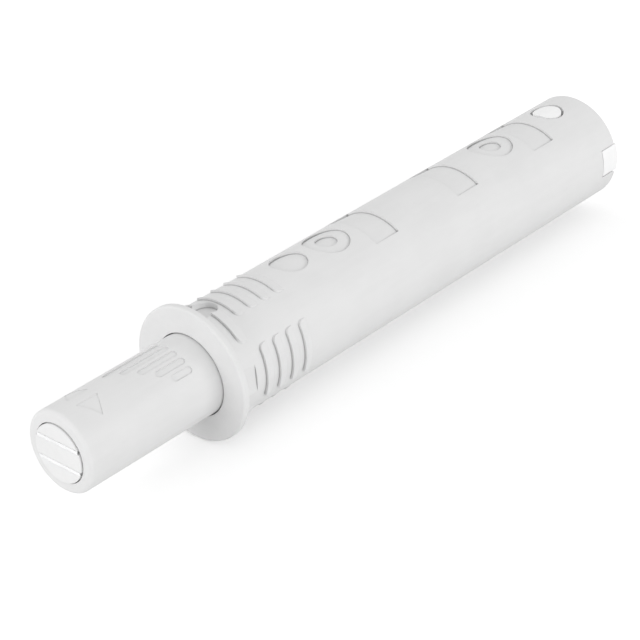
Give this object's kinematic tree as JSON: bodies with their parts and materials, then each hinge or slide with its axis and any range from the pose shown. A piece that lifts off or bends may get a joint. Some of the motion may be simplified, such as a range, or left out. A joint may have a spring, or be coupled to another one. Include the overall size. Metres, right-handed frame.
{
  "type": "push to open catch",
  "caption": "Drill-in push to open catch: round barbed housing with a thin collar, a sprung sliding plunger and a magnet tip.",
  "frame": {"origin": "centre of the collar's seating face, on the axis of the catch", "axes": "+Y along the catch into the drilled hole, away from the plunger; +Z out of the rear locking hole; +X out of the rear notch"},
  "size_m": [0.0118, 0.0651, 0.0118],
  "materials": {
    "white_housing": "fine moulded, satin",
    "white_sleeve": "fine moulded, satin",
    "white_insert": "smooth moulded, satin",
    "white_slider": "smooth moulded, satin",
    "plated_steel": "bright zinc plated",
    "magnet_nickel": "nickel plated",
    "spring_steel": "drawn wire"
  },
  "bodies": {
    "body": {"housing": "white_housing", "rear_plug": "white_insert", "spring_rod": "plated_steel", "main_spring": "spring_steel"},
    "core": {"slider": "white_slider"},
    "tip": {"magnet_holder": "white_insert", "pole_plate_upper": "plated_steel", "pole_plate_lower": "plated_steel", "magnet": "magnet_nickel"},
    "sleeve": {"plunger_sleeve": "white_sleeve"},
    "follower": {"track_follower": "spring_steel"}
  },
  "joints": [
    {"name": "push_slide", "type": "slide", "parent": "body", "child": "core", "axis": [0, 1, 0], "range_m": [0, 0.0131], "stiffness_N_per_m": 60, "springref_m": -0.004, "deforming": ["main_spring"]},
    {"name": "setting_slide", "type": "slide", "parent": "core", "child": "tip", "axis": [0, 1, 0], "range_m": [-0.003, 0.001]},
    {"name": "setting_turn", "type": "hinge", "parent": "tip", "child": "sleeve", "pos_m": [0, 0, 0], "axis": [0, 1, 0], "range_deg": [-45, 15]},
    {"name": "follower_swing", "type": "hinge", "parent": "body", "child": "follower", "pos_m": [0, 0.0451, 0], "axis": [0, 0, 1], "range_deg": [-4.2, 4.2]}
  ],
  "couplings": [
    {"joint": "setting_turn", "follows": "setting_slide", "rad_per_m": 261.8},
    {"joint": "follower_swing", "follows": "push_slide", "rad_per_m": 5.5157}
  ]
}
